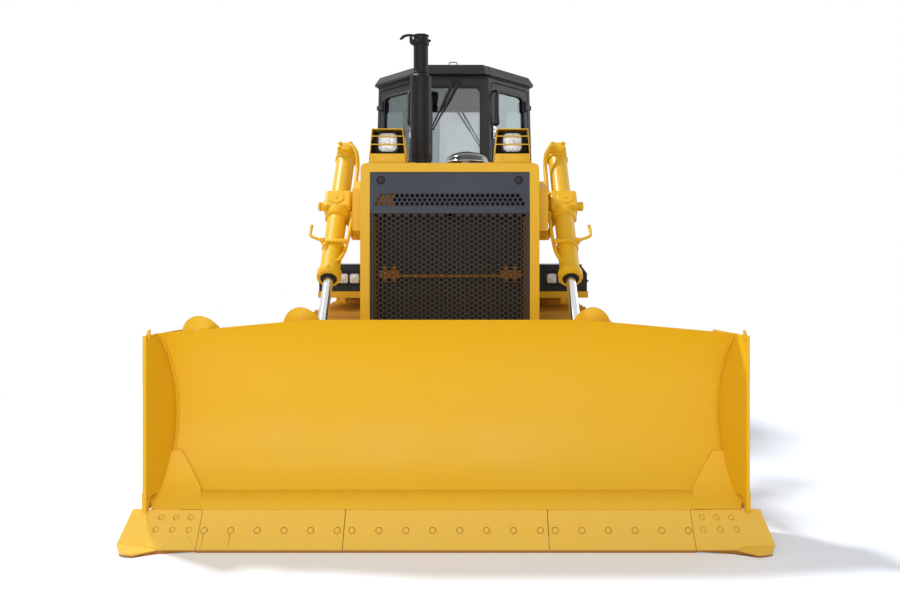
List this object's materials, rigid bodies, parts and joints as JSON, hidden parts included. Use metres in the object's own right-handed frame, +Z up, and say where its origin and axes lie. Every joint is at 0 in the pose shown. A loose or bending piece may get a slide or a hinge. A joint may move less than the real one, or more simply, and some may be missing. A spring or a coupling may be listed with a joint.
{
  "type": "bulldozer",
  "caption": "Crawler bulldozer with a straight tilting blade on push arms, lift and tilt cylinders, angular cab, hood and rear tank.",
  "frame": {"origin": "on the ground under the middle of the outline, from blade lip to drawbar tail", "axes": "+Z up, blade faces -Y, the machine's left side is +X"},
  "size_m": [3.7214, 5.541, 3.4193],
  "materials": {
    "machine_paint": "yellow enamel",
    "track_paint": "yellow enamel with rust bloom",
    "wear_steel": "enamel on wear plates",
    "dark_panel": "slate enamel",
    "black_paint": "satin black enamel",
    "cab_trim": "moulded trim",
    "cylinder_paint": "yellow enamel",
    "chrome_rod": "hard chrome",
    "cast_steel": "oily casting",
    "window_glass": "tinted safety glass",
    "lamp_lens": "clear lens",
    "seat_cloth": "woven seat cloth",
    "stack_metal": "heat-dulled black"
  },
  "bodies": {
    "root": {"cab_frame": "black_paint", "cab_glass": "window_glass", "cab_roof": "black_paint", "consoles": "cab_trim", "drawbar": "machine_paint", "engine": "cast_steel", "equalizer_bar": "machine_paint", "exhaust_stack": "stack_metal", "fender_box_left": "black_paint", "fender_box_right": "black_paint", "fender_lamps": "lamp_lens", "fender_left": "machine_paint", "fender_right": "machine_paint", "front_lamps": "lamp_lens", "fuel_tank": "machine_paint", "grille": "dark_panel", "hood": "machine_paint", "idler_left": "machine_paint", "idler_right": "machine_paint", "lamp_boxes": "machine_paint", "main_frame": "machine_paint", "precleaner": "stack_metal", "radiator_core": "cast_steel", "radiator_guard": "machine_paint", "rear_case": "machine_paint", "rollers_left": "machine_paint", "rollers_right": "machine_paint", "seat_base": "cab_trim", "seat_cushions": "seat_cloth", "side_doors": "dark_panel", "sprocket_left": "machine_paint", "sprocket_right": "machine_paint", "track_frame_left": "machine_paint", "track_frame_right": "machine_paint", "track_left": "track_paint", "track_right": "track_paint"},
    "lift_carrier": {"trunnion_balls": "cast_steel"},
    "blade": {"blade": "machine_paint", "cutting_edges": "wear_steel", "end_bits": "wear_steel"},
    "arm_left": {"push_arm_left": "machine_paint"},
    "arm_right": {"push_arm_right": "machine_paint"},
    "brace": {"brace": "cylinder_paint"},
    "tilt_barrel": {"tilt_barrel": "cylinder_paint"},
    "tilt_rod": {"tilt_rod": "chrome_rod"},
    "lift_barrel_left": {"lift_barrel_left": "cylinder_paint"},
    "lift_barrel_right": {"lift_barrel_right": "cylinder_paint"},
    "lift_rod_left": {"lift_rod_left": "chrome_rod"},
    "lift_rod_right": {"lift_rod_right": "chrome_rod"},
    "door_left": {"door_left": "black_paint", "door_glass_left": "window_glass"},
    "door_right": {"door_right": "black_paint", "door_glass_right": "window_glass"},
    "rain_cap": {"rain_cap": "stack_metal"}
  },
  "joints": [
    {"name": "blade_lift", "type": "hinge", "parent": "root", "child": "lift_carrier", "pos_m": [0, 0.2615, 0.45], "axis": [-1, 0, 0], "range_deg": [-10.5, 24.2]},
    {"name": "blade_tilt", "type": "hinge", "parent": "lift_carrier", "child": "blade", "pos_m": [0, -2.0485, 0.45], "axis": [-0.533, -0.8461, 0], "range_deg": [-6.62, 6.62]},
    {"name": "arm_left_follow", "type": "hinge", "parent": "lift_carrier", "child": "arm_left", "pos_m": [1.455, 0.2615, 0.45], "axis": [-1, 0, 0], "range_deg": [-3.6, 3.6]},
    {"name": "arm_right_follow", "type": "hinge", "parent": "lift_carrier", "child": "arm_right", "pos_m": [-1.455, 0.2615, 0.45], "axis": [-1, 0, 0], "range_deg": [-3.6, 3.6]},
    {"name": "brace_follow", "type": "hinge", "parent": "arm_left", "child": "brace", "pos_m": [1.455, -1.0885, 0.64], "axis": [0, -0.3624, -0.932], "range_deg": [-3.01, 3.01]},
    {"name": "tilt_barrel_follow", "type": "hinge", "parent": "arm_right", "child": "tilt_barrel", "pos_m": [-1.455, -1.0885, 0.64], "axis": [-0.5665, -0.2987, -0.768], "range_deg": [-3.65, 3.65]},
    {"name": "tilt_rod_slide", "type": "slide", "parent": "tilt_barrel", "child": "tilt_rod", "axis": [0, -0.932, 0.3624], "range_m": [-0.06593, 0.06593]},
    {"name": "lift_barrel_left_swing", "type": "hinge", "parent": "root", "child": "lift_barrel_left", "pos_m": [0.86, -0.9185, 2.036], "axis": [-1, 0, 0], "range_deg": [-10.32, 23.18]},
    {"name": "lift_rod_left_slide", "type": "slide", "parent": "lift_barrel_left", "child": "lift_rod_left", "axis": [0, -0.6981, -0.716], "range_m": [-0.8425, 0.3749]},
    {"name": "lift_barrel_right_swing", "type": "hinge", "parent": "root", "child": "lift_barrel_right", "pos_m": [-0.86, -0.9185, 2.036], "axis": [-1, 0, 0], "range_deg": [-10.32, 23.18]},
    {"name": "lift_rod_right_slide", "type": "slide", "parent": "lift_barrel_right", "child": "lift_rod_right", "axis": [0, -0.6981, -0.716], "range_m": [-0.8425, 0.3749]},
    {"name": "door_left_hinge", "type": "hinge", "parent": "root", "child": "door_left", "pos_m": [0.71731, 0.9082, 2.3301], "axis": [-0.0215, 0.0149, 0.9997], "range_deg": [0, 110]},
    {"name": "door_right_hinge", "type": "hinge", "parent": "root", "child": "door_right", "pos_m": [-0.71731, 0.9082, 2.3301], "axis": [0.0215, 0.0149, 0.9997], "range_deg": [-110, 0]},
    {"name": "rain_cap_hinge", "type": "hinge", "parent": "root", "child": "rain_cap", "pos_m": [-0.3195, -0.7385, 3.3894], "axis": [0, -1, 0], "range_deg": [0, 70]}
  ],
  "couplings": [
    {"joint": "arm_left_follow", "follows": "blade_tilt", "ratio": 0.53296},
    {"joint": "arm_right_follow", "follows": "blade_tilt", "ratio": -0.53296},
    {"joint": "brace_follow", "follows": "blade_tilt", "ratio": 0.44546},
    {"joint": "tilt_barrel_follow", "follows": "blade_tilt", "ratio": 0.54047},
    {"joint": "tilt_rod_slide", "follows": "blade_tilt", "m_per_rad": -0.5596},
    {"joint": "lift_barrel_left_swing", "follows": "blade_lift", "ratio": 0.93929},
    {"joint": "lift_rod_left_slide", "follows": "blade_lift", "m_per_rad": -1.9556},
    {"joint": "lift_barrel_right_swing", "follows": "blade_lift", "ratio": 0.93929},
    {"joint": "lift_rod_right_slide", "follows": "blade_lift", "m_per_rad": -1.9556}
  ]
}
